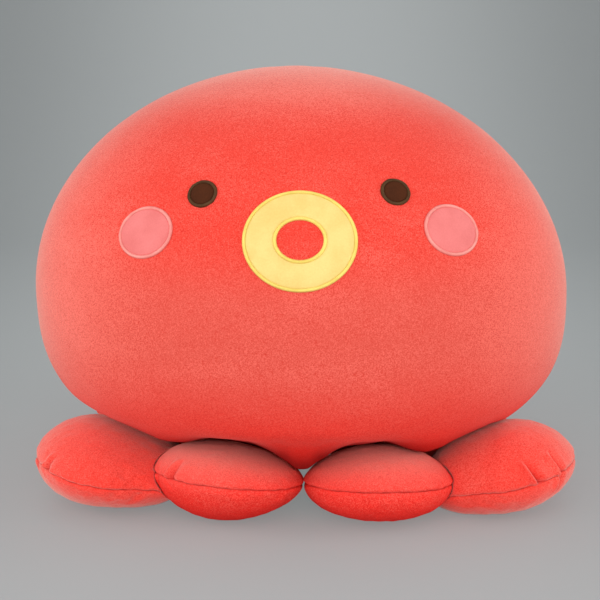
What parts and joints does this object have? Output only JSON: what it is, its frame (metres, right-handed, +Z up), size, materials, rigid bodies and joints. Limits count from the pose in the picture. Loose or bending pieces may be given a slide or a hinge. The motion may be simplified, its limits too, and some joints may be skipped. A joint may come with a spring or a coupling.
{
  "type": "plush octopus",
  "caption": "Stuffed octopus cushion toy: a wide domed plush body on a ring of flat stuffed feet, with a sewn-on face.",
  "frame": {"origin": "on the floor, under the middle of the body", "axes": "+X to the viewer's right, the face looks along -Y, +Z up"},
  "size_m": [0.382, 0.32, 0.303],
  "materials": {
    "plush": "short-pile plush, coral red",
    "filling": "loose polyester fibre",
    "mouth_fabric": "short-nap fabric, pale yellow",
    "mouth_thread": "satin stitch, yellow",
    "eye_fabric": "short-nap fabric, dark brown",
    "eye_thread": "satin stitch, dark brown",
    "cheek_fabric": "short-nap fabric, pink",
    "cheek_thread": "satin stitch, light pink"
  },
  "bodies": {
    "body": {"body_front_panel": "plush", "body_back_panel": "plush", "body_base_panel": "plush", "body_stuffing": "filling", "mouth_ring": "mouth_fabric", "mouth_outer_stitching": "mouth_thread", "mouth_inner_stitching": "mouth_thread", "eye_left": "eye_fabric", "eye_right": "eye_fabric", "eye_left_stitching": "eye_thread", "eye_right_stitching": "eye_thread", "cheek_left": "cheek_fabric", "cheek_right": "cheek_fabric", "cheek_left_stitching": "cheek_thread", "cheek_right_stitching": "cheek_thread"},
    "foot_front_left": {"foot_front_left_upper_panel": "plush", "foot_front_left_lower_panel": "plush", "foot_front_left_stuffing": "filling"},
    "foot_front_right": {"foot_front_right_upper_panel": "plush", "foot_front_right_lower_panel": "plush", "foot_front_right_stuffing": "filling"},
    "foot_side_front_left": {"foot_side_front_left_upper_panel": "plush", "foot_side_front_left_lower_panel": "plush", "foot_side_front_left_stuffing": "filling"},
    "foot_side_front_right": {"foot_side_front_right_upper_panel": "plush", "foot_side_front_right_lower_panel": "plush", "foot_side_front_right_stuffing": "filling"},
    "foot_side_rear_left": {"foot_side_rear_left_upper_panel": "plush", "foot_side_rear_left_lower_panel": "plush", "foot_side_rear_left_stuffing": "filling"},
    "foot_side_rear_right": {"foot_side_rear_right_upper_panel": "plush", "foot_side_rear_right_lower_panel": "plush", "foot_side_rear_right_stuffing": "filling"},
    "foot_rear_left": {"foot_rear_left_upper_panel": "plush", "foot_rear_left_lower_panel": "plush", "foot_rear_left_stuffing": "filling"},
    "foot_rear_right": {"foot_rear_right_upper_panel": "plush", "foot_rear_right_lower_panel": "plush", "foot_rear_right_stuffing": "filling"}
  },
  "joints": [
    {"name": "front_left_seam", "type": "hinge", "parent": "body", "child": "foot_front_left", "pos_m": [-0.03921, -0.04618, 0.02461], "axis": [0.9659, -0.2588, 0], "range_deg": [0, 15]},
    {"name": "front_right_seam", "type": "hinge", "parent": "body", "child": "foot_front_right", "pos_m": [0.03921, -0.04618, 0.02461], "axis": [0.9659, 0.2588, 0], "range_deg": [0, 15]},
    {"name": "side_front_left_seam", "type": "hinge", "parent": "body", "child": "foot_side_front_left", "pos_m": [-0.10203, -0.04616, 0.02804], "axis": [0.309, -0.9511, 0], "range_deg": [0, 15]},
    {"name": "side_front_right_seam", "type": "hinge", "parent": "body", "child": "foot_side_front_right", "pos_m": [0.10203, -0.04616, 0.02804], "axis": [0.309, 0.9511, 0], "range_deg": [0, 15]},
    {"name": "side_rear_left_seam", "type": "hinge", "parent": "body", "child": "foot_side_rear_left", "pos_m": [-0.07267, 0.0219, 0.02804], "axis": [-0.309, -0.9511, 0], "range_deg": [0, 15]},
    {"name": "side_rear_right_seam", "type": "hinge", "parent": "body", "child": "foot_side_rear_right", "pos_m": [0.07267, 0.0219, 0.02804], "axis": [-0.309, 0.9511, 0], "range_deg": [0, 15]},
    {"name": "rear_left_seam", "type": "hinge", "parent": "body", "child": "foot_rear_left", "pos_m": [-0.03921, 0.06873, 0.02461], "axis": [-0.9659, -0.2588, 0], "range_deg": [0, 15]},
    {"name": "rear_right_seam", "type": "hinge", "parent": "body", "child": "foot_rear_right", "pos_m": [0.03921, 0.06873, 0.02461], "axis": [-0.9659, 0.2588, 0], "range_deg": [0, 15]}
  ]
}
